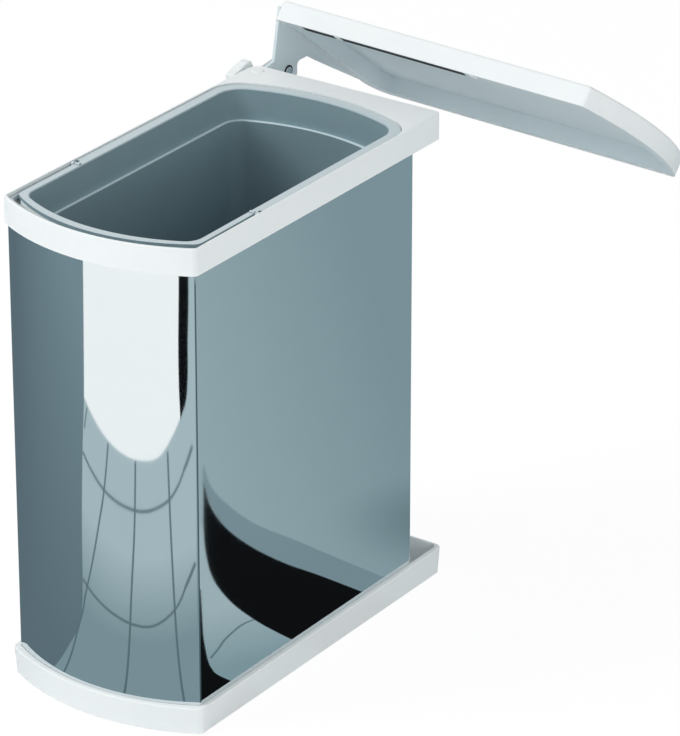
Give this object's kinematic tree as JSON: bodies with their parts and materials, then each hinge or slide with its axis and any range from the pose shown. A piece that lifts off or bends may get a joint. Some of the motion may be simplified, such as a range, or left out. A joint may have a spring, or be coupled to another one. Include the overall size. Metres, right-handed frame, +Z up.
{
  "type": "swing-out cabinet bin",
  "caption": "Cabinet bin that swings out on an upright axis, with a bowed polished casing, a lift-out bucket with a bail, and a lid that tips open as the bin turns.",
  "frame": {"origin": "centre of the four screw holes in the wall rail's back face", "axes": "+Z up, +X away from the cabinet wall, +Y towards the back of the cabinet"},
  "size_m": [0.38, 0.5864, 0.5113],
  "materials": {
    "white_plastic": "satin white moulding",
    "polished_steel": "mirror-polished sheet steel",
    "zinc_steel": "zinc-plated sheet",
    "pin_steel": "turned bright steel",
    "bucket_plastic": "fine-grained moulding",
    "bail_plastic": "smooth moulding",
    "lid_grey": "smooth moulding",
    "cap_plastic": "plain moulding",
    "bush_plastic": "natural bearing plastic",
    "stop_rubber": "black rubber"
  },
  "bodies": {
    "bracket": {"wall_rail": "zinc_steel", "upper_arm": "zinc_steel", "lower_arm": "zinc_steel", "upper_pin": "pin_steel", "lower_pin": "pin_steel", "arm_rivets": "pin_steel", "lid_bracket": "zinc_steel", "bracket_rivets": "pin_steel", "lid_pin": "pin_steel", "lid_washer": "bush_plastic", "lid_stop": "stop_rubber", "rail_cover": "white_plastic"},
    "bin": {"base_tray": "white_plastic", "steel_casing": "polished_steel", "casing_back": "zinc_steel", "seam_rivets": "pin_steel", "top_frame": "white_plastic", "pivot_cap": "cap_plastic", "upper_bush": "bush_plastic", "lower_bush": "bush_plastic"},
    "bucket": {"inner_bucket": "bucket_plastic", "bail_pins": "pin_steel"},
    "bail": {"bail_handle": "bail_plastic"},
    "lid": {"lid_shell": "white_plastic", "lid_liner": "lid_grey", "lid_arm": "lid_grey", "lid_screws": "pin_steel", "buffer_strips": "stop_rubber", "liner_catches": "white_plastic"}
  },
  "joints": [
    {"name": "bin_swing", "type": "hinge", "parent": "bracket", "child": "bin", "pos_m": [0.024, 0, 0], "axis": [0, 0, 1], "range_deg": [0, 86.5]},
    {"name": "bucket_lift", "type": "slide", "parent": "bin", "child": "bucket", "axis": [0, 0, 1], "range_m": [0, 0.5]},
    {"name": "bail_fold", "type": "hinge", "parent": "bucket", "child": "bail", "pos_m": [0.13057, -0.25998, 0.2364], "axis": [-0.9981, -0.061, 0], "range_deg": [0, 180]},
    {"name": "lid_tilt", "type": "hinge", "parent": "bracket", "child": "lid", "pos_m": [0, 0.062, 0.2156], "axis": [1, 0, 0], "range_deg": [0, 38.2]}
  ],
  "couplings": [
    {"joint": "lid_tilt", "follows": "bin_swing", "ratio": 0.4416}
  ]
}
